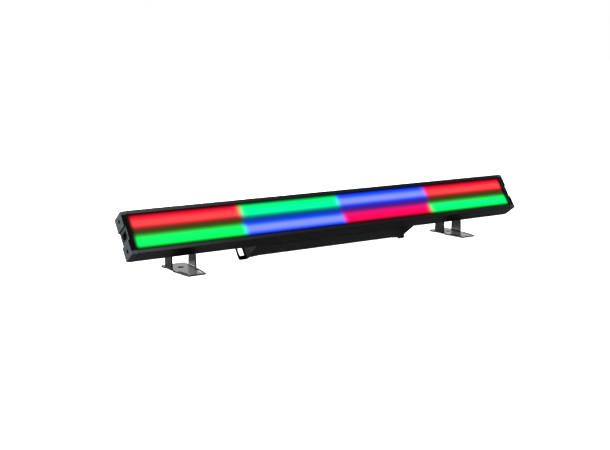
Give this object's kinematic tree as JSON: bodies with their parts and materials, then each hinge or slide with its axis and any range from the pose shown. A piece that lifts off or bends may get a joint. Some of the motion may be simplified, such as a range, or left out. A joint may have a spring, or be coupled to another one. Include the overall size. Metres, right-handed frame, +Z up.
{
  "type": "led strip batten",
  "caption": "Long light bar with an opal front lit in colour zones, a supply box on its back, and two tilting feet clamped by knobs.",
  "frame": {"origin": "on the floor, under the middle of the whole object's bounding box", "axes": "+X along the bar, -Y to the side the light leaves, +Z up; the bar stands on its two feet, tilted back 36 degrees"},
  "size_m": [1, 0.1272, 0.1365],
  "materials": {
    "blackAnodised": "black anodised extrusion",
    "blackPowderCoat": "fine black powder coat",
    "greyMoulding": "dark grey moulded cap",
    "blackMoulding": "black moulded plastic",
    "opalPlastic": "opal diffusing sheet, satin",
    "whiteEnamel": "white enamelled sheet",
    "whiteBoard": "white solder mask on a metal-core board",
    "greenBoard": "green solder mask",
    "blackSteel": "black oxide",
    "zincSteel": "zinc plated",
    "rubber": "soft black rubber",
    "nylon": "natural nylon",
    "blueMoulding": "blue moulded socket",
    "paleMoulding": "pale grey moulded socket",
    "smokedWindow": "smoked window"
  },
  "bodies": {
    "batten": {"housing_extrusion": "blackAnodised", "diffuser_panel": "opalPlastic", "reflector_tray": "whiteEnamel", "led_board_1": "whiteBoard", "led_board_2": "whiteBoard", "led_board_3": "whiteBoard", "led_board_4": "whiteBoard", "left_end_cap": "greyMoulding", "left_link_socket": "blackMoulding", "left_cap_screw_1": "blackSteel", "left_cap_screw_2": "blackSteel", "right_end_cap": "greyMoulding", "right_link_socket": "blackMoulding", "right_cap_screw_1": "blackSteel", "right_cap_screw_2": "blackSteel", "supply_box_shell": "blackPowderCoat", "supply_box_cover": "blackPowderCoat", "power_supply": "zincSteel", "control_board": "greenBoard", "display_window": "smokedWindow", "fuse_holder": "blackMoulding", "cable_grommet": "rubber", "wiring_loom": "rubber", "power_inlet": "blueMoulding", "power_outlet": "paleMoulding", "data_inlet": "blackMoulding", "data_outlet": "blackMoulding", "left_safety_eye": "blackSteel", "right_safety_eye": "blackSteel", "cover_screw_1": "blackSteel", "cover_screw_2": "blackSteel", "cover_screw_3": "blackSteel", "cover_screw_4": "blackSteel", "left_pivot_bracket": "blackPowderCoat", "left_bracket_screw_1": "blackSteel", "left_bracket_screw_2": "blackSteel", "right_pivot_bracket": "blackPowderCoat", "right_bracket_screw_1": "blackSteel", "right_bracket_screw_2": "blackSteel"},
    "left_foot": {"left_foot_bracket": "blackPowderCoat", "left_outer_friction_washer": "nylon", "left_inner_friction_washer": "nylon"},
    "left_outer_knob": {"left_outer_knob_grip": "blackMoulding", "left_outer_knob_stud": "zincSteel"},
    "left_inner_knob": {"left_inner_knob_grip": "blackMoulding", "left_inner_knob_stud": "zincSteel"},
    "right_foot": {"right_foot_bracket": "blackPowderCoat", "right_outer_friction_washer": "nylon", "right_inner_friction_washer": "nylon"},
    "right_outer_knob": {"right_outer_knob_grip": "blackMoulding", "right_outer_knob_stud": "zincSteel"},
    "right_inner_knob": {"right_inner_knob_grip": "blackMoulding", "right_inner_knob_stud": "zincSteel"},
    "button_1": {"menu_button_1": "blackMoulding"},
    "button_2": {"menu_button_2": "blackMoulding"},
    "button_3": {"menu_button_3": "blackMoulding"},
    "button_4": {"menu_button_4": "blackMoulding"},
    "fuse_carrier": {"fuse_cap": "blackMoulding"},
    "latch": {"data_outlet_latch": "zincSteel"}
  },
  "joints": [
    {"name": "left_foot_tilt", "type": "hinge", "parent": "batten", "child": "left_foot", "pos_m": [-0.36, 0.02225, 0.0565], "axis": [1, 0, 0], "range_deg": [-36, 144]},
    {"name": "right_foot_tilt", "type": "hinge", "parent": "batten", "child": "right_foot", "pos_m": [0.36, 0.02225, 0.0565], "axis": [1, 0, 0], "range_deg": [-36, 144]},
    {"name": "left_outer_knob_turn", "type": "hinge", "parent": "left_foot", "child": "left_outer_knob", "pos_m": [-0.395, 0.02225, 0.0565], "axis": [-1, 0, 0], "range_deg": [0, 720]},
    {"name": "left_inner_knob_turn", "type": "hinge", "parent": "left_foot", "child": "left_inner_knob", "pos_m": [-0.325, 0.02225, 0.0565], "axis": [1, 0, 0], "range_deg": [0, 720]},
    {"name": "right_outer_knob_turn", "type": "hinge", "parent": "right_foot", "child": "right_outer_knob", "pos_m": [0.395, 0.02225, 0.0565], "axis": [1, 0, 0], "range_deg": [0, 720]},
    {"name": "right_inner_knob_turn", "type": "hinge", "parent": "right_foot", "child": "right_inner_knob", "pos_m": [0.325, 0.02225, 0.0565], "axis": [-1, 0, 0], "range_deg": [0, 720]},
    {"name": "menu_button_1_press", "type": "slide", "parent": "batten", "child": "button_1", "axis": [0, -0.809, 0.5878], "range_m": [0, 0.0008], "stiffness_N_per_m": 500, "springref_m": -0.002},
    {"name": "menu_button_2_press", "type": "slide", "parent": "batten", "child": "button_2", "axis": [0, -0.809, 0.5878], "range_m": [0, 0.0008], "stiffness_N_per_m": 500, "springref_m": -0.002},
    {"name": "menu_button_3_press", "type": "slide", "parent": "batten", "child": "button_3", "axis": [0, -0.809, 0.5878], "range_m": [0, 0.0008], "stiffness_N_per_m": 500, "springref_m": -0.002},
    {"name": "menu_button_4_press", "type": "slide", "parent": "batten", "child": "button_4", "axis": [0, -0.809, 0.5878], "range_m": [0, 0.0008], "stiffness_N_per_m": 500, "springref_m": -0.002},
    {"name": "fuse_cap_turn", "type": "hinge", "parent": "batten", "child": "fuse_carrier", "pos_m": [-0.172, 0.04958, 0.06384], "axis": [0, 0.809, -0.5878], "range_deg": [0, 90]},
    {"name": "data_latch_press", "type": "slide", "parent": "batten", "child": "latch", "axis": [-1, 0, 0], "range_m": [0, 0.001], "stiffness_N_per_m": 400, "springref_m": -0.002}
  ]
}
